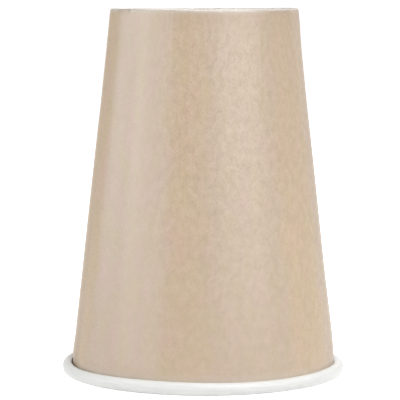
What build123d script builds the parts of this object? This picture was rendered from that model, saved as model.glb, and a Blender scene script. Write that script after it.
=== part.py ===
from build123d import *

import math
import os

# A single-wall paper hot cup, standing upside down on its rolled rim.
# Origin: centre of the plane that the rim stands on. +Z: up the cup's axis, to the foot.
# Lengths are in millimetres and angles in degrees.

# Overall form
cup_height = 115.7  # rim plane to the crest of the foot's fold
rim_diameter = 90.0  # over the rolled rim
foot_diameter = 58.8  # the wall's outer face, carried on to the height of the crest

# Board
wall_board = 0.35  # sidewall blank
bottom_board = 0.30  # bottom disc
seal_film = 0.03  # melted coating between boards that are sealed together

# Rolled rim
roll_width = 3.4  # across the roll, in plan
roll_height = 3.8
arc_joint = 60.0  # half the turn of the roll's rounder sides
crevice = 0.15  # left between the curl's raw edge and the wall, where the wall is lapped

# Foot
hem_length = 6.2  # turned in from the fold to the hem's raw edge
floor_depth = 8.0  # from the crest in to the floor's drinking side
floor_corner_radius = 0.9  # where the floor turns into its skirt
skirt_gap = 0.1  # from the skirt's raw edge to the start of the fold

# Side seam
lap_width = 8.0  # of one flap over the other, halfway up the wall
seam_azimuth = 90.0  # the middle of the lap, at the back of the cup

# Facets of the bends
facet_rise = 0.1  # that the corner between two facets may stand off the true arc


def straight(length):
    """A run of board that stays flat in section."""
    return {"length": length, "turn": 0.0}


def bend(radius, turn):
    """A run of board bent round an arc of its white face's radius. A positive turn goes left."""
    return {"radius": radius, "turn": turn}


def facet_turn(run):
    """Turn between two facets of a bend, which are as many as keep it near its arc.

    Their number is even, so that a facet lies square across the bend's middle.
    """
    widest = run["radius"] + (wall_board if run["turn"] < 0 else 0)
    largest_turn = 2 * math.degrees(math.acos(widest / (widest + facet_rise)))
    return run["turn"] / (2 * math.ceil(abs(run["turn"]) / 2 / largest_turn))


def trace(start, heading, runs, lift):
    """Corners of the line that keeps the distance lift to the left of the runs.

    A bend is a row of flat facets that touch its arc, so that it meets its neighbours smoothly.
    """
    at = start + Vector(lift, 0).rotate(Axis.Z, heading + 90)
    corners = [at]
    for run in runs:
        along = Vector(1, 0).rotate(Axis.Z, heading)
        if not run["turn"]:
            at += along * run["length"]
            continue
        step = facet_turn(run)
        radius = run["radius"] - math.copysign(lift, step)
        half_facet = radius * math.tan(math.radians(abs(step) / 2))
        for _ in range(round(run["turn"] / step)):
            at += along * half_facet
            corners.append(at)
            heading += step
            along = Vector(1, 0).rotate(Axis.Z, heading)
            at += along * half_facet
    corners.append(at)
    return corners


def board_section(path, near, far):
    """The board's section between two distances to the left of a path, on the XZ plane."""
    right = trace(*path, near)
    left = trace(*path, far)
    return Plane.XZ * make_face(Polyline(right + left[::-1], close=True))


# The roll's white outside is an oval of four arcs. Its sides turn into its caps at arc_joint
# degrees from upright. The arcs are tangent there, which gives the difference of their radii.
joint_across = math.cos(math.radians(arc_joint))
joint_up = math.sin(math.radians(arc_joint))
radius_step = (roll_height - roll_width) / 2 / (joint_across + joint_up - 1)
side_radius = roll_width / 2 + radius_step * joint_across
cap_radius = roll_height / 2 - radius_step * joint_up
roll_middle = Vector((rim_diameter - roll_width) / 2, roll_height / 2)
side_centre = roll_middle + Vector(radius_step * joint_across, 0)
top_cap_centre = roll_middle + Vector(0, radius_step * joint_up)

# The wall's brown face is the straight line from the foot that touches the roll's inner side
foot_point = Vector(foot_diameter / 2, cup_height)
to_side = side_centre - foot_point
wall_slope = to_side.get_angle(Vector(0, -1)) - math.degrees(
    math.asin((side_radius - wall_board) / to_side.length)
)
down_wall = Vector(0, -1).rotate(Axis.Z, wall_slope)
off_wall = Vector(1, 0).rotate(Axis.Z, wall_slope)

# The fold closes on the skirt, and its brown face reaches the cup's height
fold_radius = bottom_board / 2 + seal_film
brown_fold_radius = fold_radius + wall_board
fold_reach = brown_fold_radius * (1 - off_wall.Y) / off_wall.X
fold_centre = foot_point - Vector(fold_reach, brown_fold_radius)
wall_start = fold_centre + off_wall * fold_radius
wall_end = side_centre - off_wall * side_radius


def wall_path():
    """White face of the sidewall: up the hem, round the fold, down the wall, into the curl."""
    hem_edge = fold_centre - off_wall * fold_radius + down_wall * hem_length
    wall_to_cap = (top_cap_centre - wall_end).dot(off_wall) - wall_board
    last_reach = wall_to_cap - wall_board - crevice
    curl_end = 360 + wall_slope - math.degrees(math.acos(last_reach / cap_radius))
    runs = [
        straight(hem_length),
        bend(fold_radius, -180),
        straight((wall_end - wall_start).length),
        bend(side_radius, arc_joint - wall_slope),
        bend(cap_radius, 180 - 2 * arc_joint),
        bend(side_radius, 2 * arc_joint),
        bend(cap_radius, curl_end - 180 - arc_joint),
    ]
    return hem_edge, 90 + wall_slope, runs


def bottom_path():
    """Drinking side of the bottom: out along the floor, round the corner, up the skirt."""
    skirt_end = fold_centre + off_wall * (bottom_board / 2) + down_wall * skirt_gap
    floor_height = cup_height - floor_depth
    skirt_run = (skirt_end.Y - floor_height) / off_wall.X
    corner = skirt_end + down_wall * skirt_run
    turn = 90 + wall_slope
    cut_back = floor_corner_radius * math.tan(math.radians(turn / 2))
    runs = [
        straight(corner.X - cut_back),
        bend(floor_corner_radius, turn),
        straight(skirt_run - cut_back),
    ]
    return Vector(0, floor_height), 0, runs


def sidewall():
    """The wrapped blank: one board all round, two in the lap, and the drape between them."""
    path = wall_path()
    inner_flap = board_section(path, 0, wall_board)
    outer_flap = board_section(path, wall_board, 2 * wall_board)
    both_flaps = board_section(path, 0, 2 * wall_board)
    mean_radius = (wall_start.X + wall_end.X) / 2
    lap = math.degrees(lap_width / mean_radius)
    # Over the inner flap's edge the outer flap leaves the round on a tangent
    drape = math.degrees(math.acos(mean_radius / (mean_radius + wall_board)))
    inner_edge = seam_azimuth - lap / 2
    single = revolve(Rot(Z=inner_edge + lap) * inner_flap, Axis.Z, 360 - lap - drape)
    double = revolve(Rot(Z=inner_edge) * both_flaps, Axis.Z, lap)
    step_up = loft([Rot(Z=inner_edge - drape) * inner_flap, Rot(Z=inner_edge) * outer_flap], ruled=True)
    return single + double + step_up


def bottom():
    """The pressed disc with its skirt turned up to the foot."""
    return revolve(board_section(bottom_path(), 0, bottom_board), Axis.Z, 360)


os.makedirs("parts", exist_ok=True)
pieces = {"cup_wall": sidewall(), "cup_bottom": bottom()}
for name, solid in pieces.items():
    export_step(solid, f"parts/{name}.step")
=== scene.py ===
import math

import bpy
import numpy as np
from mathutils import Matrix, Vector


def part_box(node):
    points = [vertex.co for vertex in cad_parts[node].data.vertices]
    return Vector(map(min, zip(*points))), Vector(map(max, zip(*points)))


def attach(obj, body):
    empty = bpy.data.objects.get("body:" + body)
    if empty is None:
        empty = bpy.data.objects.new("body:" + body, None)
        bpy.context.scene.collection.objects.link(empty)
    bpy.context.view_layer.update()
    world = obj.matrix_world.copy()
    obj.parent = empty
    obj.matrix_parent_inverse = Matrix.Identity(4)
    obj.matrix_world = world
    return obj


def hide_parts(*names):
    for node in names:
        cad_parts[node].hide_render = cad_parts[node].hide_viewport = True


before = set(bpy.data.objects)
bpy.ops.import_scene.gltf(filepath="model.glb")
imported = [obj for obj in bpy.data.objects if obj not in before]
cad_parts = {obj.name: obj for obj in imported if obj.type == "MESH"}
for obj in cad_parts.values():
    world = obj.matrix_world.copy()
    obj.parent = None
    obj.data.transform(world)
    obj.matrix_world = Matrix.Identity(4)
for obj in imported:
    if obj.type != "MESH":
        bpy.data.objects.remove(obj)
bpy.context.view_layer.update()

# A paper hot cup, standing upside down on its rolled rim.
# Lengths are in metres. +Z is up the cup's axis, to the foot, and the camera looks along +Y.
# An azimuth on the cup is 0 at the right, 90 at the seam behind, 180 at the left and 270 in front.

MM = 0.001

_, wall_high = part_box("cup_wall")
bottom_low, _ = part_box("cup_bottom")

# Board
WALL_BOARD = 0.35 * MM
BOTTOM_BOARD = 0.30 * MM
SEAL_FILM = 0.03 * MM  # melted coating between sealed boards
FLAP_GAP = 0.01 * MM  # film between the two flaps of the side seam

# Overall form
CUP_HEIGHT = 115.7 * MM
RIM_RADIUS = wall_high.x
FOOT_RADIUS = 29.4 * MM
ROLL_WIDTH = 3.4 * MM
ROLL_HEIGHT = 3.8 * MM
ARC_JOINT = math.radians(60)  # half the turn of the roll's rounder sides
CREVICE = 0.15 * MM  # from the curl's raw edge to the wall, in the lap
HEM_LENGTH = 6.2 * MM
FLOOR_CORNER = 0.9 * MM
SKIRT_GAP = 0.1 * MM

# Side seam
LAP_WIDTH = 8.0 * MM
SEAM_AZIMUTH = math.radians(90)
LAP_FULL = 0.45  # shares of the lap's angle off its middle, where its mark is full and gone
LAP_GONE = 0.75

# Fineness of the meshes
WALL_COLUMNS = 500
PLEAT_COLUMNS = 720
NEAR_FOLD = 6 * MM  # stretches of the wall with closer stations
NEAR_ROLL = 12 * MM
POLE_RADIUS = 0.4 * MM  # of the flat spot at the middle of the bottom

# Waves, which are sums of cosines of whole orders of the angle
WAVE_SHARES = (0.5, 1)  # that are drawn for each order
WAVE_GAIN = 1.6  # brings the largest value of each sum here to between 0.7 and 1.1

# The foot's crest. Here and below a pair is where a smooth step begins and ends.
CREST_SWAY = 0.05 * MM
CREST_WAVES = {"orders": range(3, 16), "seed": 21}
CREST_DIP = 0.46 * MM  # at the back
DIP_AZIMUTH = math.radians(106)
DIP_POWER = 4  # the higher, the shorter the dip
LEFT_LIFT = 0.21 * MM  # of a stretch from the left to the front
LEFT_RISES = np.radians([150, 200])
LEFT_FALLS = np.radians([243, 263])
RIGHT_LIFT = 0.28 * MM  # of a hump at the right
RIGHT_AZIMUTH = math.radians(5)
RIGHT_REACH = math.radians(55)
CREST_FADES = (0.0, 8 * MM)  # down the wall from the fold

# The wall between fold and roll
WALL_SWAY = 0.05 * MM
LONG_WAVES = {"orders": range(2, 8), "seed": 4}
SHORT_WAVES = {"orders": range(9, 23), "seed": 9}
LONG_TURN = 2.3  # radians that the long waves' strength turns through, from fold to roll
LONG_START = 0.4
SHORT_TURN = 3.4
SWAY_BEGINS = (7 * MM, 22 * MM)  # from the fold
SWAY_ENDS = (-12 * MM, 0.0)  # from the roll
WALL_BOW = 0.15 * MM
BOW_BEGINS = (4 * MM, 14 * MM)  # above the rim's plane
BOW_ENDS = (0.0, 1 * MM)  # into the roll
WAIST_HEIGHT = 87.0 * MM  # where the wall doesn't bow
WAIST_REACH = 14 * MM
FOOT_FLARE = 0.16 * MM
FOOT_OVAL = 0.10 * MM
FLARE_BEGINS = (103 * MM, 113 * MM)
RIGHT_TOE = 0.36 * MM  # of the wall above the roll
RIGHT_TOE_FADES = (8 * MM, 40 * MM)
LEFT_TOE = 0.22 * MM
LEFT_TOE_FADES = (7 * MM, 13 * MM)
TOE_BEGINS = (3.6 * MM, 7 * MM)

# The roll
CURL_CLOSING = 0.42 * MM  # of the curl on to the wall, where it is tightest
LOOSE_CLOSING = 0.12 * MM
TIGHT_AZIMUTH = math.radians(330)
CLOSING_BEGINS = (-3.0 * MM, 0.0)  # from the curl's raw edge
ROLL_SWELL = 0.16 * MM  # of the roll's height
SWELLS = 4  # round the rim
SWELL_AZIMUTH = math.radians(247)
SWELL_BEGINS = (-6.0 * MM, -2.5 * MM)  # from the curl's raw edge

# The hem
HEM_RIBS = 96
HEM_RIB_DEPTH = 0.09 * MM
RIBS_BEGIN = (1.0 * MM, 1.6 * MM)  # from the hem's raw edge
RIBS_END = (4.6 * MM, 5.4 * MM)

# The bottom
DISH_DEPTH = 0.3 * MM
PLEATS = 110
PLEAT_DEPTH = 0.08 * MM
PLEATS_BEGIN = (-2.2 * MM, 0.3 * MM)  # from the end of the floor
PLEATS_END = (0.4 * MM, 1.1 * MM)
MEAN_TIDE = 0.6  # share of their depth that the pleats have, and how far it comes and goes
TIDE_SWAY = 0.4
TIDE_WAVES = {"orders": range(5, 17), "seed": 31}
PLEAT_SHIFT = 3  # radians that the pleats stray from an even spacing
SHIFT_WAVES = {"orders": range(3, 9), "seed": 8}
SKIRT_MOVES = 1.3 * MM  # past the end of the floor, where the skirt starts to follow the crest
SKIRT_FOLLOWS = 0.5 * MM  # before its raw edge, where it follows the crest fully
BOTTOM_BOW_POWER = 3  # with which the wall's bow grows from the middle of the bottom outwards

# The roll's white outside is an oval of four arcs, as in the frame
radius_step = (ROLL_HEIGHT - ROLL_WIDTH) / 2 / (math.cos(ARC_JOINT) + math.sin(ARC_JOINT) - 1)
side_radius = ROLL_WIDTH / 2 + radius_step * math.cos(ARC_JOINT)
cap_radius = ROLL_HEIGHT / 2 - radius_step * math.sin(ARC_JOINT)
roll_middle = np.array([RIM_RADIUS - ROLL_WIDTH / 2, ROLL_HEIGHT / 2])
side_centre = roll_middle + [radius_step * math.cos(ARC_JOINT), 0]
top_cap_centre = roll_middle + [0, radius_step * math.sin(ARC_JOINT)]

# The wall's brown face is the straight line from the foot that touches the roll's inner side
foot_point = np.array([FOOT_RADIUS, CUP_HEIGHT])
to_side = side_centre - foot_point
side_distance = math.hypot(*to_side)
side_lean = math.asin((side_radius - WALL_BOARD) / side_distance)
wall_slope = math.atan2(to_side[0], -to_side[1]) - side_lean
down_wall = np.array([math.sin(wall_slope), -math.cos(wall_slope)])
off_wall = np.array([math.cos(wall_slope), math.sin(wall_slope)])

fold_radius = BOTTOM_BOARD / 2 + SEAL_FILM
brown_fold_radius = fold_radius + WALL_BOARD
fold_reach = brown_fold_radius * (1 - off_wall[1]) / off_wall[0]
fold_centre = foot_point - [fold_reach, brown_fold_radius]
wall_start = fold_centre + off_wall * fold_radius
wall_end = side_centre - off_wall * side_radius
wall_length = math.dist(wall_start, wall_end)
mean_radius = (wall_start[0] + wall_end[0]) / 2
lap_angle = LAP_WIDTH / mean_radius

# Places on the flat blank. Along the board they are measured from the hem's raw edge, and round
# the cup from the first flap's edge.
NICK_AZIMUTH = math.radians(219)
fold_place = HEM_LENGTH + fold_radius * math.pi
roll_place = fold_place + wall_length
crest_place = HEM_LENGTH + brown_fold_radius * math.pi / 2
print_edge = crest_place - 0.42 * MM
nick_place = (NICK_AZIMUTH - SEAM_AZIMUTH) * mean_radius + LAP_WIDTH / 2

# Colours are linear red, green and blue, and opaque
BROWN_DEEP = (0.57, 0.448, 0.329, 1)
BROWN_PALE = (0.595, 0.468, 0.357, 1)
BROWN_ROSY = (0.606, 0.452, 0.372, 1)
BROWN_OLIVE = (0.573, 0.465, 0.321, 1)
BROWN_FIBRE = (0.703, 0.579, 0.473, 1)
# Deeper brown of the dark fibres, also laid on as painted shade
BROWN_SHADE = (0.461, 0.349, 0.258, 1)
OLIVE_TINT = (1.04, 0.992, 0.8, 1)
ROSY_TINT = (1.02, 0.985, 0.97, 1)
# Paler shoulder of the fold: partly wear, partly painted light on its upward face
SHOULDER_WEAR_AND_LIGHT = (0.635, 0.59, 0.54, 1)
CREST_GREY = (0.52, 0.495, 0.455, 1)
# Painted light on the brown just above the roll, where the roll's shadow falls
ROLL_SIDE_PAINTED_LIGHT = (0.63, 0.56, 0.485, 1)
RUBBED_WHITE = (0.93, 0.905, 0.85, 1)
# Painted shade of a nick in the crest
NICK_SHADE = (0.30, 0.25, 0.20, 1)
HEM_WHITE = (0.85, 0.828, 0.785, 1)
HEM_BRIGHT = (0.94, 0.925, 0.89, 1)
WHITE_COOL = (0.828, 0.84, 0.831, 1)
WHITE_WARM = (0.847, 0.856, 0.839, 1)
WHITE_SHADE = (0.785, 0.794, 0.781, 1)
CREASE_GREY = (0.708, 0.719, 0.705, 1)
BARE_BOARD = (0.89, 0.872, 0.84, 1)
BARE_SHADE = (0.87, 0.855, 0.825, 1)
PULP = (0.78, 0.72, 0.63, 1)
PULP_SHADE = (0.62, 0.55, 0.46, 1)

# Patterns of the boards, by the size of their features
BROWN_CLOUDS = 7 * MM
HUES = {"width": 5.0 * MM, "length": 14.0 * MM}
FLOCKS = {"width": 2.0 * MM, "length": 2.8 * MM}
STRANDS = {"width": 0.42 * MM, "length": 0.72 * MM, "lean": 0.12, "detail": 4.0, "distortion": 0.7}
CROSSING = {"width": 0.3 * MM, "length": 0.46 * MM, "lean": -0.5, "distortion": 0.5}
STRAND_WEIGHT = 0.55
CROSSING_WEIGHT = 0.45
WORN_PATCHES = {"width": 1.6 * MM, "length": 1.0 * MM, "detail": 4.0}
COATING_CLOUDS = 5 * MM
COATING_GRAIN = {"width": 0.6 * MM, "length": 2.2 * MM}
CREASES = {"width": 9.0 * MM, "length": 0.35 * MM, "distortion": 0.2}
CREASES_BEGIN = 2 * MM  # into the roll, where they are full
CREASE_WEIGHT = 1.5
BARE_CLOUDS = 6 * MM
BARE_GRAIN = {"width": 0.5 * MM, "length": 1.6 * MM, "detail": 4.0, "distortion": 0.6}
PULP_GRAIN = 0.25 * MM

# Ranges of the noise, which is about 0.5 on average, with the shares at their two ends if there
# are four numbers
NOISE_MIDDLE = (0.35, 0.65)
WIDE_MIDDLE = (0.3, 0.7)
ROSY_NOISE = (0.5, 0.68)
OLIVE_NOISE = (0.5, 0.32)
PALE_GRAIN = (0.5, 0.72, 0.0, 0.96)
PALE_FLOCKS = (0.5, 0.75, 0.0, 0.4)
DARK_GRAIN = (0.5, 0.3, 0.0, 1.12)
DARK_FLOCKS = (0.5, 0.25, 0.0, 0.44)
PATCH_SHARES = (0.45, 1.0)
CREST_SHARES = (0.7, 0.95)
COATING_SHADES = (0.5, 0.75, 0.0, 0.25)
CREASE_SHADES = (0.5, 0.75, 0.0, 0.8)
PULP_SPECKS = (0.52, 0.75, 0.0, 0.5)

# The print's mottling, which is strong on one side of the cup and near the foot
SMOOTH_SIDE = 95 * MM
MOTTLED_SIDE = 107 * MM
MOTTLED_SHARE = 0.75
MOTTLED_HEIGHT = 35 * MM
SMOOTH_HEIGHT = 125 * MM
FADED_SHARE = 0.35
LEAST_MOTTLED = 0.38

# Upright streaks of deeper brown, painted shade laid between the sheen's highlights: start and end
# round the cup, share and tint
SHEEN_SHADE_STREAKS = (
    (60 * MM, 78 * MM, 0.65, OLIVE_TINT),
    (60 * MM, 80 * MM, 0.4, ROSY_TINT),
    (103.5 * MM, 116 * MM, 0.45, OLIVE_TINT),
    (141 * MM, 157.5 * MM, 0.75, OLIVE_TINT),
)
STREAK_ENDS = 3 * MM  # half the width of a streak's soft ends
STREAK_WANDER = 2 * MM  # to either side
WANDER_SIZE = 12 * MM
ROSY_STREAK = (105.5 * MM, 111.5 * MM, STREAK_ENDS)
ROSY_FADES = (roll_place - 55 * MM, roll_place - 20 * MM, 0.8, 0.0)

# Stretches round the cup: start, end and half the width of their soft ends
WORN_STRETCH = (64 * MM, 162 * MM, 4 * MM)
RUBBED_STRETCH = (119 * MM, 133 * MM, 2.5 * MM)
RUBBED_RIGHT = (141 * MM, 163 * MM, 2 * MM)
# Stretches of painted shade where the board is pinched under the crest
PINCH_SHADE_RIGHT = (141 * MM, 154 * MM, 2 * MM)
PINCH_SHADE_LEFT = (75 * MM, 84.5 * MM, 1.5 * MM)
# Stretches of painted shade, low at the left and high at the right
LEFT_LOW_SHADE_STRETCH = (50 * MM, 71 * MM, 3 * MM)
RIGHT_HIGH_SHADE_STRETCH = (138 * MM, 156 * MM, 3.5 * MM)
HEM_STRETCH = (172 * MM, 218 * MM, 6 * MM)
WORN_SHARES = (0.2, 0.85)  # outside and inside the worn stretch
# Share of the painted pinch shade at the left
LEFT_PINCH_SHADE = 0.8
RIGHT_RUB = 0.5

# Distances off the crest, within which a layer is full and past which it is gone
CREST_REACH = (0.1 * MM, 0.4 * MM)
SHOULDER_REACH = (0.5 * MM, 2.0 * MM)
RUBBED_REACH = (0.2 * MM, 0.6 * MM)
# Painted shade where the board is pinched and below the fold
PINCH_SHADE_REACH = (0.6 * MM, 2.4 * MM)
PINCH_SHADE_SHARE = 0.9
BELOW_FOLD_REACH = (1.0 * MM, 9.0 * MM)
BELOW_FOLD_SHARE = 0.35
NICK_REACH = (0.15 * MM, 0.5 * MM)  # round the cup, off the nick
NICK_SHARE = 0.95

# Ragged edge of the print
RAGGED_SIZE = 0.7 * MM
RAGGED_REACH = 0.12 * MM
PRINT_BLUR = 0.1 * MM

# Painted light and shade over the print: painted shade darker towards the roll, painted light on the
# brown just above it, and painted shade low at the left and high at the right. Where along the board
# they begin and end with the shares there, the stretch that they lie in, and their colour
PAINTED_LIGHT_AND_SHADE = (
    ((roll_place - 32 * MM, roll_place - 2 * MM, 0.0, 0.12), None, BROWN_SHADE),
    ((roll_place - 3.5 * MM, roll_place - 0.8 * MM, 0.0, 0.55), None, ROLL_SIDE_PAINTED_LIGHT),
    ((roll_place - 75 * MM, roll_place - 2 * MM, 0.0, 0.55), LEFT_LOW_SHADE_STRETCH, BROWN_SHADE),
    ((crest_place + 5 * MM, crest_place + 75 * MM, 0.42, 0.0), RIGHT_HIGH_SHADE_STRETCH, BROWN_SHADE),
)

# Gloss and relief
PRINT_ROUGHNESS = (0.31, 0.25)
HEM_ROUGHNESS = 0.8
COATING_ROUGHNESS = (0.34, 0.44)
BARE_ROUGHNESS = 0.75
PULP_ROUGHNESS = 0.9
SHEEN_FACING = (0.35, 0.75, 0.63, 0.035)  # from facing to grazing, with the mirrored shares there
GRAIN_RELIEF = 0.6
FLOCK_RELIEF = 0.8
PRINT_BUMP = (0.35, 0.05 * MM)  # strength and depth
COATING_BUMP = (0.3, 0.04 * MM)
BARE_BUMP = (0.4, 0.05 * MM)
PULP_BUMP = (0.6, 0.05 * MM)

# Stage
FLOOR_SIZE = 40.0
FLOOR_GLOW = 0.95
FLOOR_COLOUR = (0.89, 0.89, 0.89, 1)
FLOOR_ROUGHNESS = 0.9
WORLD_LIGHT = 0.15
PLAIN_WHITE = (1, 1, 1, 1)

# Soft panels: name, degrees to the right from behind the camera, height, distance, width, height
# of the panel, and power in watts
PANELS = (
    ("left_panel", -49, 0.2, 0.9, 0.35, 0.4, 0.65),
    ("left_side_panel", -71, 0.18, 0.9, 0.35, 0.4, 0.83),
    ("left_high_panel", -82, 0.28, 0.9, 0.35, 0.4, 0.62),
    ("left_rear_panel", -105, 0.22, 0.9, 0.42, 0.4, 0.99),
    ("right_panel", 28, 0.3, 0.9, 0.35, 0.4, 0.73),
    ("right_side_panel", 50, 0.27, 0.9, 0.35, 0.4, 0.73),
    ("right_rear_panel", 105, 0.75, 0.9, 0.3, 0.5, 1.03),
    ("back_panel", 180, 0.3, 0.9, 0.6, 0.5, 0.42),
    ("top_panel", 10, 0.95, 0.55, 0.6, 0.6, 4.1),
    ("top_right_panel", 60, 0.85, 0.5, 0.5, 0.5, 3.32),
)

# Camera: a pinhole that is fitted to the photograph's outline of the cup
CAMERA_PLACE = (-1.14 * MM, -728.0 * MM, 130.2 * MM)
CAMERA_PITCH = math.radians(5.895)
CAMERA_ROLL = 0.0024
IMAGE_WIDTH = 400.0
FOCAL_PIXELS = 2298.9
SENSOR_WIDTH = 36.0  # in millimetres, as is the lens
FARTHEST_SEEN = 100.0


def straight(length, stations):
    """A run of board that stays flat in section, seen at a number of stations."""
    return {"length": length, "turn": 0.0, "radius": 0.0, "stations": stations}


def bend(radius, turn, stations):
    """A run of board on an arc of its white face's radius. A positive turn goes left."""
    return {"length": radius * abs(turn), "turn": turn, "radius": radius, "stations": stations}


def follow(start, heading, runs):
    """Stations along a board's face in section, as rows of an array.

    A straight run moves along its heading. A bend turns its heading evenly, and each of its points
    is its centre less the radius times the unit vector to the left of the heading there.
    The columns are radius, height, the unit vector to the left, and the distance along the board.
    """
    point = np.array(start, float)
    walked = 0.0
    parts = []
    for run in runs:
        share = np.linspace(0, 1, run["stations"])
        headings = heading + run["turn"] * share
        left = np.column_stack([-np.sin(headings), np.cos(headings)])
        along = np.array([math.cos(heading), math.sin(heading)])
        if run["turn"]:
            reach = math.copysign(run["radius"], run["turn"])
            points = point + reach * (left[0] - left)
        else:
            points = point + np.outer(share * run["length"], along)
        parts.append(np.column_stack([points, left, walked + share * run["length"]])[:-1])
        point = points[-1]
        heading += run["turn"]
        walked += run["length"]
    last = np.array([[*point, -math.sin(heading), math.cos(heading), walked]])
    return np.vstack(parts + [last])


def wall_stations():
    """The sidewall's white face: up the hem, round the fold, down the wall, into the curl."""
    hem_edge = fold_centre - off_wall * fold_radius + down_wall * HEM_LENGTH
    last_reach = (top_cap_centre - wall_end) @ off_wall - 2 * WALL_BOARD - CREVICE
    curl_end = 2 * math.pi + wall_slope - math.acos(last_reach / cap_radius)
    runs = [
        straight(HEM_LENGTH, stations=9),
        bend(fold_radius, -math.pi, stations=13),
        straight(NEAR_FOLD, stations=7),
        straight(wall_length - NEAR_FOLD - NEAR_ROLL, stations=25),
        straight(NEAR_ROLL, stations=11),
        bend(side_radius, ARC_JOINT - wall_slope, stations=7),
        bend(cap_radius, math.pi - 2 * ARC_JOINT, stations=7),
        bend(side_radius, 2 * ARC_JOINT, stations=12),
        bend(cap_radius, curl_end - math.pi - ARC_JOINT, stations=9),
    ]
    return follow(hem_edge, math.pi / 2 + wall_slope, runs)


def smooth(value, low, high, start=0.0):
    """0 below low, 1 above high, and a cubic with level ends between. Both are measured from a
    start."""
    low = start + low
    high = start + high
    share = np.clip((value - low) / (high - low), 0, 1)
    return share * share * (3 - 2 * share)


def hump(angle):
    """Half the sum of 1 and the angle's cosine: 1 at the angle 0, and 0 opposite it."""
    return 0.5 + 0.5 * np.cos(angle)


def hollow(angle):
    """Half of 1 less the angle's cosine: 0 at the angle 0, and 1 opposite it."""
    return 0.5 - 0.5 * np.cos(angle)


def waves(angle, orders, seed):
    """A sum of cosines of whole orders of the angle, each with a random phase and a share that
    falls with the root of its order."""
    draw = np.random.default_rng(seed)
    orders = np.asarray(orders)
    phases = draw.uniform(0, 2 * math.pi, len(orders))
    shares = draw.uniform(*WAVE_SHARES, len(orders)) / np.sqrt(orders)
    summed = (shares[:, None] * np.cos(np.outer(orders, angle) + phases[:, None])).sum(0)
    return summed / shares.sum() * WAVE_GAIN


def apart(angles, azimuth):
    """How far each angle lies from an azimuth, the shorter way round."""
    return np.abs((angles - azimuth + math.pi) % (2 * math.pi) - math.pi)


def in_lap(angles):
    """1 where the wall is lapped and 0 elsewhere, with smooth ends."""
    off_seam = apart(angles, SEAM_AZIMUTH)
    return 1 - smooth(off_seam, lap_angle * LAP_FULL, lap_angle * LAP_GONE)


def crest_rise(angles):
    """Height of the foot's crest over its plane. It dips at the back as a power of a cosine, and
    where the wall is lapped it is also pressed down by one board. It stands up in a long stretch
    at the left and a hump at the right, and sways with a sum of cosines."""
    dip = CREST_DIP * hump(angles - DIP_AZIMUTH) ** DIP_POWER
    turned = angles % (2 * math.pi)
    left_stretch = smooth(turned, *LEFT_RISES) * (1 - smooth(turned, *LEFT_FALLS))
    off_right = np.clip(apart(angles, RIGHT_AZIMUTH) / RIGHT_REACH, 0, 1)
    lifted = LEFT_LIFT * left_stretch + RIGHT_LIFT * hump(math.pi * off_right)
    sway = CREST_SWAY * waves(angles, **CREST_WAVES)
    return sway + lifted - dip - WALL_BOARD * in_lap(angles)


def bow(angles, height):
    """How far the wall stands out from its straight cone: by 1 less a bell curve about its waist,
    but not at the rim. Added to that are a flare at the foot, with the angle's cosine, and a toe
    above the roll, with the squares of hump and hollow, which reaches high up at the right and
    stays low at the left."""
    off_waist = (height - WAIST_HEIGHT) / WAIST_REACH
    above_rim = smooth(height, *BOW_BEGINS)
    flare = smooth(height, *FLARE_BEGINS)
    round_foot = FOOT_FLARE + FOOT_OVAL * np.cos(angles)
    right_toe = RIGHT_TOE * hump(angles) ** 2 * (1 - smooth(height, *RIGHT_TOE_FADES))
    left_toe = LEFT_TOE * hollow(angles) ** 2 * (1 - smooth(height, *LEFT_TOE_FADES))
    toe = smooth(height, *TOE_BEGINS) * (right_toe + left_toe)
    return WALL_BOW * (1 - np.exp(-off_waist ** 2)) * above_rim + round_foot * flare + toe


def turned_points(radius, angles, height):
    """Points at a radius, an angle round the axis and a height, one row each."""
    points = np.stack([radius * np.cos(angles), radius * np.sin(angles), height], axis=-1)
    return points.reshape(-1, 3)


def grid_quads(index, flipped=False):
    """Corners of the quads of a grid of point numbers, with rows along the board's section."""
    corners = [index[:-1, :-1], index[1:, :-1], index[1:, 1:], index[:-1, 1:]]
    quads = np.stack(corners, axis=-1).reshape(-1, 4)
    return quads[:, ::-1] if flipped else quads


def edge_quads(first, second):
    """Corners of the quads of a strip between two lines of point numbers."""
    return grid_quads(np.stack([first, second]))


def end_quads(first, second):
    """As edge_quads, for lines that run along the board's section."""
    return grid_quads(np.stack([first, second]).T)


def mesh_piece(name, points, spots, groups, materials, caps=()):
    """A mesh of quads. Each group is its quads, their material's number, and whether they are
    shaded smooth. The spots are each point's place on the flat blank, kept as a UV map. Each cap
    is a ring of points closed by one flat face, and its material's number."""
    quads = np.vstack([group[0] for group in groups])
    sizes = [len(group[0]) for group in groups] + [1] * len(caps)
    numbers = [group[1] for group in groups] + [cap[1] for cap in caps]
    rounded = [group[2] for group in groups] + [True] * len(caps)
    mesh = bpy.data.meshes.new(name)
    mesh.from_pydata(points.tolist(), [], quads.tolist() + [cap[0].tolist() for cap in caps])
    for material in materials:
        mesh.materials.append(material)
    mesh.polygons.foreach_set("material_index", np.repeat(numbers, sizes))
    mesh.polygons.foreach_set("use_smooth", np.repeat(rounded, sizes))
    corners = np.concatenate([quads.ravel()] + [cap[0] for cap in caps])
    layer = mesh.uv_layers.new(name="blank")
    layer.data.foreach_set("uv", spots[corners].astype(np.float32).ravel())
    mesh.update()
    piece = bpy.data.objects.new(name, mesh)
    bpy.context.scene.collection.objects.link(piece)
    return piece


def travelled(line):
    """Distance along a line of points in section."""
    steps = np.hypot(*np.diff(line, axis=0).T)
    return np.concatenate([[0.0], np.cumsum(steps)])


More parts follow.
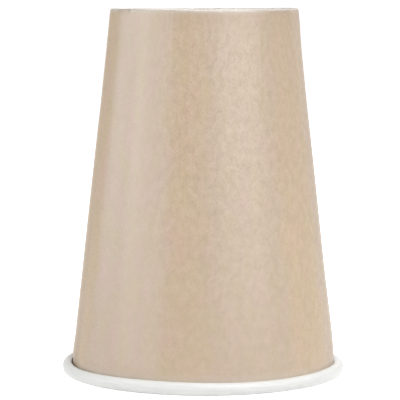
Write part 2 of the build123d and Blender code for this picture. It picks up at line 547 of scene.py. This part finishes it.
def wall_drift(angles, run):
    """How far the wall stands off its cone: long and short waves round the cup, whose strengths
    are a cosine and a sine of the share of the wall's height."""
    on_wall = smooth(run, *SWAY_BEGINS, start=fold_place)
    on_wall *= 1 - smooth(run, *SWAY_ENDS, start=roll_place)
    height_share = (run - fold_place) / wall_length
    long_strength = np.cos(LONG_TURN * height_share + LONG_START)[:, None]
    short_strength = np.sin(SHORT_TURN * height_share)[:, None]
    long_drift = long_strength * waves(angles, **LONG_WAVES)
    short_drift = short_strength * waves(angles, **SHORT_WAVES) / 2
    return WALL_SWAY * on_wall[:, None] * (long_drift + short_drift)


def sidewall(materials):
    """The wrapped blank, a sheet of even thickness over two parameters.

    One parameter is the distance along the section and the other the angle round the axis, which
    runs one turn and a lap. A point is the section's point moved along its normal by the lift:
    nothing at first, then the run of a tangent over the first flap's edge, then one board in the
    lap. The brown face lies one board further out than the white one. The wall's drift and bow,
    the crest's rise, the curl's closing and swell, and the ribs pressed into the hem are added.
    Each is made of smooth steps along the board and waves or cosines of the angle.
    """
    stations = wall_stations()
    white_line = stations[:, :2]
    normals = stations[:, 2:4]
    brown_line = white_line + normals * WALL_BOARD
    drape = math.acos(mean_radius / (mean_radius + WALL_BOARD + FLAP_GAP))
    first_edge = SEAM_AZIMUTH - lap_angle / 2
    angles = first_edge + np.linspace(0, 2 * math.pi + lap_angle, WALL_COLUMNS)
    into_drape = np.clip(angles - (first_edge + 2 * math.pi - drape), 0, drape)
    lift = mean_radius * (1 / np.cos(into_drape) - 1)

    white_run = stations[:, 4]
    brown_run = travelled(brown_line)
    raw_edge_run = white_run[-1]
    drift = wall_drift(angles, white_run)
    before_curl = 1 - smooth(white_run, *BOW_ENDS, start=roll_place)
    near_fold = 1 - smooth(white_run, *CREST_FADES, start=fold_place)
    rise = near_fold[:, None] * crest_rise(angles)

    single = 1 - in_lap(angles)
    extra_closing = (CURL_CLOSING - LOOSE_CLOSING) * hump(angles - TIGHT_AZIMUTH)
    tight = (LOOSE_CLOSING + extra_closing) * single
    closing = smooth(white_run, *CLOSING_BEGINS, start=raw_edge_run)[:, None] * tight
    swell = ROLL_SWELL * (1 + np.cos(SWELLS * (angles - SWELL_AZIMUTH))) * single
    on_top = smooth(white_run, *SWELL_BEGINS, start=raw_edge_run)
    rise += on_top[:, None] * swell

    on_hem = smooth(white_run, *RIBS_BEGIN) * (1 - smooth(white_run, *RIBS_END))
    pressed = HEM_RIB_DEPTH * on_hem[:, None] * hollow(angles * HEM_RIBS)
    around = (angles - first_edge) * mean_radius

    def face(offset):
        """The board's face at an offset from its white one."""
        reach = lift + drift + offset
        radius = white_line[:, :1] + normals[:, :1] * reach - closing * off_wall[0]
        height = white_line[:, 1:] + normals[:, 1:] * reach - closing * off_wall[1] + rise
        radius = radius + before_curl[:, None] * bow(angles, height)
        return turned_points(radius, angles, height)

    def flat_places(run):
        """Places on the flat blank, round the cup and at a distance along the board."""
        return np.stack(np.broadcast_arrays(around, run[:, None]), axis=-1).reshape(-1, 2)

    points = np.vstack([face(0.0), face(WALL_BOARD - pressed)])
    spots = np.vstack([flat_places(white_run), flat_places(brown_run)])

    count = len(stations) * len(angles)
    white = np.arange(count).reshape(len(stations), len(angles))
    brown = white + count
    outside, inside, cut = range(3)  # the materials' numbers
    groups = [
        (grid_quads(white, flipped=True), inside, True),
        (grid_quads(brown), outside, True),
        (edge_quads(brown[0], white[0]), cut, False),
        (edge_quads(white[-1], brown[-1]), cut, False),
        (end_quads(brown[:, 0], white[:, 0]), cut, False),
        (end_quads(white[:, -1], brown[:, -1]), cut, False),
    ]
    return mesh_piece("sidewall_blank", points, spots, groups, materials)


def bottom_disc(materials):
    """The pressed disc, a board whose section is turned round the axis.

    One parameter is the distance along the section and the other the angle. The drinking side is
    the section's line and the other side lies one board above it. The floor dishes with the cosine
    of its radius, and small pleats, cosines of the angle, stand where the disc turns up.
    """
    skirt_end = fold_centre + off_wall * (BOTTOM_BOARD / 2) + down_wall * SKIRT_GAP
    floor_height = bottom_low.z
    skirt_run = (skirt_end[1] - floor_height) / off_wall[0]
    corner = skirt_end + down_wall * skirt_run
    turn = math.pi / 2 + wall_slope
    cut_back = FLOOR_CORNER * math.tan(turn / 2)
    floor_run = corner[0] - cut_back - POLE_RADIUS
    runs = [
        straight(floor_run, stations=19),
        bend(FLOOR_CORNER, turn, stations=9),
        straight(skirt_run - cut_back, stations=6),
    ]
    stations = follow([POLE_RADIUS, floor_height], 0, runs)
    walked = stations[:, 4]
    angles = np.linspace(0, 2 * math.pi, PLEAT_COLUMNS, endpoint=False)
    radius_share = np.clip(walked / floor_run, 0, 1)
    dish = DISH_DEPTH * hump(math.pi * radius_share)
    at_corner = smooth(walked, *PLEATS_BEGIN, start=floor_run)
    at_corner *= 1 - smooth(walked, *PLEATS_END, start=floor_run)
    tide = MEAN_TIDE + TIDE_SWAY * waves(angles, **TIDE_WAVES)
    shift = PLEAT_SHIFT * waves(angles, **SHIFT_WAVES)
    pleats = PLEAT_DEPTH * tide * hump(PLEATS * angles + shift)
    lift = dish[:, None] + at_corner[:, None] * pleats
    up_skirt = smooth(walked, floor_run + SKIRT_MOVES, walked[-1] - SKIRT_FOLLOWS)
    rise = up_skirt[:, None] * crest_rise(angles)

    def face(offset):
        """The board's face at an offset from its drinking side."""
        reach = lift + offset
        radius = stations[:, :1] + stations[:, 2:3] * reach
        height = stations[:, 1:2] + stations[:, 3:4] * reach + rise
        radius = radius + bow(angles, height) * (radius / FOOT_RADIUS) ** BOTTOM_BOW_POWER
        return turned_points(radius, angles, height)

    points = np.vstack([face(0.0), face(BOTTOM_BOARD)])
    flat_radius = walked + POLE_RADIUS
    flat_x = np.outer(flat_radius, np.cos(angles))
    flat_y = np.outer(flat_radius, np.sin(angles))
    spots = np.tile(np.stack([flat_x, flat_y], axis=-1).reshape(-1, 2), (2, 1))

    count = len(points) // 2
    drinking = np.arange(count).reshape(len(stations), -1)
    drinking = np.column_stack([drinking, drinking[:, 0]])
    recess = drinking + count
    coated, bare, cut = range(3)  # the materials' numbers
    groups = [
        (grid_quads(drinking, flipped=True), coated, True),
        (grid_quads(recess), bare, True),
        (edge_quads(drinking[-1], recess[-1]), cut, False),
    ]
    caps = [(drinking[0, -1:0:-1], coated), (recess[0, 1:], bare)]
    return mesh_piece("bottom_disc", points, spots, groups, materials, caps)


# Materials

def new_material(name):
    """A material with a single Principled shader, and its node tree."""
    material = bpy.data.materials.new(name)
    material.use_nodes = True
    tree = material.node_tree
    return material, tree, tree.nodes["Principled BSDF"]


def fill(tree, node, inputs):
    """Sets a node's inputs from values, or joins them to other nodes' outputs."""
    for name, value in inputs.items():
        if isinstance(value, bpy.types.NodeSocket):
            tree.links.new(value, node.inputs[name])
        else:
            node.inputs[name].default_value = value


def add(tree, kind, inputs=None, **settings):
    """A node with its settings and inputs."""
    node = tree.nodes.new(kind)
    for name, value in settings.items():
        setattr(node, name, value)
    fill(tree, node, inputs or {})
    return node


def blank_place(tree):
    """The point's place on the flat blank, in metres: round the cup, and along the board."""
    return add(tree, "ShaderNodeUVMap", uv_map="blank").outputs["UV"]


def object_place(tree):
    """The point's place on the cup, in metres."""
    return add(tree, "ShaderNodeTexCoord").outputs["Object"]


def fibres(tree, place, width, length, lean=0.0, detail=3.0, distortion=0.4):
    """Noise drawn out along the board: features of a width and a length, leaning by an angle."""
    leaning = {"Vector": place, "Rotation": (0, 0, lean)}
    turned = add(tree, "ShaderNodeMapping", leaning, vector_type="POINT").outputs[0]
    drawing = {"Vector": turned, "Scale": (1 / width, 1 / length, 1 / width)}
    drawn = add(tree, "ShaderNodeMapping", drawing).outputs[0]
    noise = {"Vector": drawn, "Scale": 1.0, "Detail": detail, "Roughness": 0.55}
    noise["Distortion"] = distortion
    return add(tree, "ShaderNodeTexNoise", noise).outputs[0]


def blotches(tree, place, size, detail=2.0):
    """Noise with features of one size in all directions."""
    noise = {"Vector": place, "Scale": 1 / size, "Detail": detail, "Roughness": 0.5}
    return add(tree, "ShaderNodeTexNoise", noise).outputs[0]


def spread(tree, value, low, high, to_low=0.0, to_high=1.0, smooth_ends=False):
    """The value's place between low and high, carried to another range and kept inside it."""
    ranges = {"Value": value, "From Min": low, "From Max": high, "To Min": to_low, "To Max": to_high}
    kind = "SMOOTHSTEP" if smooth_ends else "LINEAR"
    return add(tree, "ShaderNodeMapRange", ranges, interpolation_type=kind).outputs[0]


def worked(tree, operation, first, second):
    """One operation on two values."""
    return add(tree, "ShaderNodeMath", {0: first, 1: second}, operation=operation).outputs[0]


def product(tree, first, *others):
    """Values multiplied one after another."""
    for other in others:
        first = worked(tree, "MULTIPLY", first, other)
    return first


def total(tree, first, second):
    """Two values added."""
    return worked(tree, "ADD", first, second)


def larger(tree, first, second):
    """The larger of two values."""
    return worked(tree, "MAXIMUM", first, second)


def distance(tree, value, place):
    """How far a value lies from a place, on either side of it."""
    return worked(tree, "ABSOLUTE", worked(tree, "SUBTRACT", value, place), 0.0)


def near(tree, off_place, full, gone, share=1.0):
    """A share that is full within a distance and falls smoothly to 0 at a larger one."""
    return spread(tree, off_place, full, gone, share, 0.0, smooth_ends=True)


def stretch(tree, value, start, end, ends):
    """1 where the value lies between start and end and 0 elsewhere, with soft ends."""
    risen = spread(tree, value, start - ends, start + ends, smooth_ends=True)
    fallen = spread(tree, value, end - ends, end + ends, 1.0, 0.0, smooth_ends=True)
    return product(tree, risen, fallen)


def mixed(tree, share, first, second, blend="MIX"):
    """Two colours mixed by a share of the second. A Mix node's sixth and seventh inputs and its
    second output, counted from 0, are those for colours."""
    inputs = {0: share, 6: first, 7: second}
    return add(tree, "ShaderNodeMix", inputs, data_type="RGBA", blend_type=blend).outputs[2]


def raised(tree, height, strength, depth):
    """The normal of a surface with a fine relief of some depth."""
    bump = {"Strength": strength, "Distance": depth, "Height": height}
    return add(tree, "ShaderNodeBump", bump).outputs[0]


def streaked_brown(tree, place, around, along):
    """Brown that changes slowly over the blank, under soft upright streaks of other hues. Most
    streaks are painted shade, laid between the sheen's highlights.
    """
    clouds = blotches(tree, place, BROWN_CLOUDS)
    hues = fibres(tree, place, **HUES)
    tone = mixed(tree, spread(tree, clouds, *NOISE_MIDDLE), BROWN_DEEP, BROWN_PALE)
    tone = mixed(tree, spread(tree, hues, *ROSY_NOISE), tone, BROWN_ROSY)
    tone = mixed(tree, spread(tree, hues, *OLIVE_NOISE), tone, BROWN_OLIVE)
    wander = blotches(tree, place, WANDER_SIZE)
    wander = spread(tree, wander, *WIDE_MIDDLE, -STREAK_WANDER, STREAK_WANDER)
    wandered = total(tree, around, wander)
    for start, end, depth, tint in SHEEN_SHADE_STREAKS:
        share = product(tree, stretch(tree, wandered, start, end, STREAK_ENDS), depth)
        tone = mixed(tree, share, tone, tint, blend="MULTIPLY")
    rosy = spread(tree, along, *ROSY_FADES)
    rosy = product(tree, rosy, stretch(tree, wandered, *ROSY_STREAK))
    return mixed(tree, rosy, tone, ROSY_TINT, blend="MULTIPLY")


def with_painted_light_and_shade(tree, tone, around, along):
    """A tone with painted shade and painted light over it, above the roll and at the cup's two
    sides.
    """
    for reach, side, colour in PAINTED_LIGHT_AND_SHADE:
        share = spread(tree, along, *reach)
        if side:
            share = product(tree, share, stretch(tree, around, *side))
        tone = mixed(tree, share, tone, colour)
    return tone


def brown_print():
    """The cup's outside: board coloured brown up to the foot's crest, with fine upright fibres
    showing through, and worn where it is folded. Painted shade and painted light lie near the fold,
    above the roll and at the sides, and upright streaks of painted shade lie between the sheen's
    highlights."""
    material, tree, shader = new_material("brown_print")
    place = blank_place(tree)
    places = add(tree, "ShaderNodeSeparateXYZ", {0: place}).outputs
    around = places[0]
    along = places[1]

    flocks = fibres(tree, place, **FLOCKS)
    strands = product(tree, fibres(tree, place, **STRANDS), STRAND_WEIGHT)
    crossing = product(tree, fibres(tree, place, **CROSSING), CROSSING_WEIGHT)
    grain = total(tree, strands, crossing)
    sides = (SMOOTH_SIDE, MOTTLED_SIDE, 0.0, MOTTLED_SHARE)
    mottled = spread(tree, around, *sides, smooth_ends=True)
    heights = (MOTTLED_HEIGHT, SMOOTH_HEIGHT, 1.0, FADED_SHARE)
    fading = spread(tree, along, *heights, smooth_ends=True)
    strength = total(tree, product(tree, mottled, fading), LEAST_MOTTLED)
    pale = total(tree, spread(tree, grain, *PALE_GRAIN), spread(tree, flocks, *PALE_FLOCKS))
    dark = total(tree, spread(tree, grain, *DARK_GRAIN), spread(tree, flocks, *DARK_FLOCKS))
    tone = streaked_brown(tree, place, around, along)
    tone = mixed(tree, product(tree, pale, strength), tone, BROWN_FIBRE)
    tone = mixed(tree, product(tree, dark, strength), tone, BROWN_SHADE)

    # Worn crest, whose paler shoulder is partly wear and partly painted light on its upward face
    off_crest = distance(tree, along, crest_place)
    on_shoulder = near(tree, off_crest, *SHOULDER_REACH)
    on_crest = near(tree, off_crest, *CREST_REACH)
    patches = fibres(tree, place, **WORN_PATCHES)
    patches = spread(tree, patches, *NOISE_MIDDLE, *PATCH_SHARES)
    worn = spread(tree, stretch(tree, around, *WORN_STRETCH), 0.0, 1.0, *WORN_SHARES)
    tone = mixed(tree, product(tree, on_shoulder, patches, worn), tone, SHOULDER_WEAR_AND_LIGHT)
    greyed = spread(tree, patches, *PATCH_SHARES, *CREST_SHARES)
    tone = mixed(tree, product(tree, on_crest, greyed), tone, CREST_GREY)

    # Painted shade and painted light above the roll and at the sides
    tone = with_painted_light_and_shade(tree, tone, around, along)
    # Painted shade below the fold, where the print is mottled
    below_fold_shade = near(tree, off_crest, *BELOW_FOLD_REACH, BELOW_FOLD_SHARE)
    tone = mixed(tree, product(tree, below_fold_shade, mottled), tone, BROWN_SHADE)
    # Painted shade where the board is pinched under the crest
    pinch_shade = near(tree, off_crest, *PINCH_SHADE_REACH, PINCH_SHADE_SHARE)
    pinch_shade_left = product(tree, stretch(tree, around, *PINCH_SHADE_LEFT), LEFT_PINCH_SHADE)
    pinch_shade_sides = larger(tree, stretch(tree, around, *PINCH_SHADE_RIGHT), pinch_shade_left)
    tone = mixed(tree, product(tree, pinch_shade, pinch_shade_sides), tone, BROWN_SHADE)

    # Painted shade of a nick that the crest's shape doesn't have, and stretches that are rubbed down
    # to the white board
    across_nick = near(tree, distance(tree, around, nick_place), *NICK_REACH)
    nick = product(tree, across_nick, on_shoulder, NICK_SHARE)
    tone = mixed(tree, nick, tone, NICK_SHADE)
    rubbed_right = product(tree, stretch(tree, around, *RUBBED_RIGHT), RIGHT_RUB)
    rubbed = larger(tree, stretch(tree, around, *RUBBED_STRETCH), rubbed_right)
    rubbed = product(tree, rubbed, near(tree, off_crest, *RUBBED_REACH), patches)
    tone = mixed(tree, rubbed, tone, RUBBED_WHITE)

    # White hem beyond the print's ragged edge
    ragged = blotches(tree, place, RAGGED_SIZE)
    ragged = spread(tree, ragged, *WIDE_MIDDLE, -RAGGED_REACH, RAGGED_REACH)
    from_edge = total(tree, worked(tree, "SUBTRACT", along, print_edge), ragged)
    printed = spread(tree, from_edge, -PRINT_BLUR, PRINT_BLUR, smooth_ends=True)
    hem = mixed(tree, stretch(tree, around, *HEM_STRETCH), HEM_WHITE, HEM_BRIGHT)
    tone = mixed(tree, printed, hem, tone)

    gloss = spread(tree, grain, *NOISE_MIDDLE, *PRINT_ROUGHNESS)
    matt = spread(tree, printed, 0.0, 1.0, HEM_ROUGHNESS, 0.0)
    facing = add(tree, "ShaderNodeLayerWeight", {"Blend": 0.5}).outputs["Facing"]
    mirrored = spread(tree, facing, *SHEEN_FACING)
    flock_relief = product(tree, flocks, FLOCK_RELIEF)
    relief = total(tree, product(tree, grain, GRAIN_RELIEF), flock_relief)
    fill(tree, shader, {
        "Base Color": tone,
        "Roughness": larger(tree, gloss, matt),
        "Specular IOR Level": product(tree, mirrored, printed),
        "Normal": raised(tree, relief, *PRINT_BUMP),
    })
    return material


def white_coating():
    """The coated drinking side, which shows on the rolled rim: smooth film over white board."""
    material, tree, shader = new_material("white_coating")
    place = blank_place(tree)
    along = add(tree, "ShaderNodeSeparateXYZ", {0: place}).outputs[1]
    clouds = blotches(tree, place, COATING_CLOUDS)
    grain = fibres(tree, place, **COATING_GRAIN)
    tone = mixed(tree, spread(tree, clouds, *NOISE_MIDDLE), WHITE_COOL, WHITE_WARM)
    tone = mixed(tree, spread(tree, grain, *COATING_SHADES), tone, WHITE_SHADE)
    on_roll = spread(tree, along, roll_place, roll_place + CREASES_BEGIN, smooth_ends=True)
    creases = fibres(tree, place, **CREASES)
    creased = product(tree, spread(tree, creases, *CREASE_SHADES), on_roll)
    tone = mixed(tree, creased, tone, CREASE_GREY)
    crease_relief = product(tree, creases, product(tree, on_roll, CREASE_WEIGHT))
    relief = total(tree, grain, crease_relief)
    fill(tree, shader, {
        "Base Color": tone,
        "Roughness": spread(tree, clouds, *WIDE_MIDDLE, *COATING_ROUGHNESS),
        "Normal": raised(tree, relief, *COATING_BUMP),
    })
    return material


def bare_board():
    """Uncoated white board, as on the recessed side of the bottom."""
    material, tree, shader = new_material("bare_board")
    place = blank_place(tree)
    clouds = blotches(tree, place, BARE_CLOUDS)
    grain = fibres(tree, place, **BARE_GRAIN)
    tone = mixed(tree, spread(tree, clouds, *NOISE_MIDDLE), BARE_BOARD, BARE_SHADE)
    tone = mixed(tree, spread(tree, grain, *PULP_SPECKS), tone, PULP)
    fill(tree, shader, {
        "Base Color": tone,
        "Roughness": BARE_ROUGHNESS,
        "Normal": raised(tree, grain, *BARE_BUMP),
    })
    return material


def raw_edge():
    """The cut edge of the board: matt pulp with a fine grain."""
    material, tree, shader = new_material("raw_edge")
    grain = blotches(tree, object_place(tree), PULP_GRAIN, detail=4.0)
    fill(tree, shader, {
        "Base Color": mixed(tree, spread(tree, grain, *NOISE_MIDDLE), PULP, PULP_SHADE),
        "Roughness": PULP_ROUGHNESS,
        "Normal": raised(tree, grain, *PULP_BUMP),
    })
    return material


# Stage

def seen_share(tree):
    """1 for the rays that show a background: straight to the camera, mirrored, or through glass."""
    path = add(tree, "ShaderNodeLightPath").outputs
    seen = larger(tree, path["Is Camera Ray"], path["Is Glossy Ray"])
    return larger(tree, seen, path["Is Transmission Ray"])


def floor():
    """A plain pale floor, a single square. The glow only shows to the camera and in reflections,
    and leaves the shadow."""
    half = FLOOR_SIZE / 2
    corners = [(-half, -half, 0), (half, -half, 0), (half, half, 0), (-half, half, 0)]
    mesh = bpy.data.meshes.new("floor")
    mesh.from_pydata(corners, [], [(0, 1, 2, 3)])
    piece = bpy.data.objects.new("floor", mesh)
    bpy.context.scene.collection.objects.link(piece)
    material, tree, shader = new_material("floor")
    fill(tree, shader, {
        "Base Color": FLOOR_COLOUR,
        "Roughness": FLOOR_ROUGHNESS,
        "Specular IOR Level": 0.0,
        "Emission Color": PLAIN_WHITE,
        "Emission Strength": product(tree, seen_share(tree), FLOOR_GLOW),
    })
    mesh.materials.append(material)
    return piece


def soft_lamp(name, azimuth, height, away, width, tall, power):
    """A soft panel that faces the middle of the cup. Its azimuth is 0 behind the camera, and
    grows to the right."""
    lamp = bpy.data.lights.new(name, "AREA")
    lamp.shape = "RECTANGLE"
    lamp.size = width
    lamp.size_y = tall
    lamp.energy = power
    panel = bpy.data.objects.new(name, lamp)
    turn = math.radians(azimuth)
    tilt = math.atan2(height - CUP_HEIGHT / 2, away)
    place = Matrix.Translation((away * math.sin(turn), -away * math.cos(turn), height))
    tilted = Matrix.Rotation(math.pi / 2 - tilt, 4, "X")
    panel.matrix_world = place @ Matrix.Rotation(turn, 4, "Z") @ tilted
    bpy.context.scene.collection.objects.link(panel)


def studio():
    """Even white surroundings, and soft panels at the sides, behind and above."""
    world = bpy.data.worlds.new("studio")
    bpy.context.scene.world = world
    world.use_nodes = True
    tree = world.node_tree
    strength = spread(tree, seen_share(tree), 0.0, 1.0, WORLD_LIGHT, 1.0)
    fill(tree, tree.nodes["Background"], {"Color": PLAIN_WHITE, "Strength": strength})
    for panel in PANELS:
        soft_lamp(*panel)


def camera():
    """The pinhole, which looks at the cup from in front and a little above."""
    data = bpy.data.cameras.new("camera")
    data.sensor_width = SENSOR_WIDTH
    data.lens = FOCAL_PIXELS * data.sensor_width / IMAGE_WIDTH
    data.clip_end = FARTHEST_SEEN
    viewer = bpy.data.objects.new("camera", data)
    pitched = Matrix.Rotation(math.pi / 2 - CAMERA_PITCH, 4, "X")
    turned = pitched @ Matrix.Rotation(CAMERA_ROLL, 4, "Z")
    viewer.matrix_world = Matrix.Translation(CAMERA_PLACE) @ turned
    bpy.context.scene.collection.objects.link(viewer)
    bpy.context.scene.camera = viewer


brown = brown_print()
coating = white_coating()
board = bare_board()
edge = raw_edge()

wall = sidewall([brown, coating, edge])
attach(wall, "root")
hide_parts("cup_wall")

bottom = bottom_disc([coating, board, edge])
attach(bottom, "root")
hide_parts("cup_bottom")

floor()
studio()
camera()
bpy.context.scene.view_settings.view_transform = "Standard"
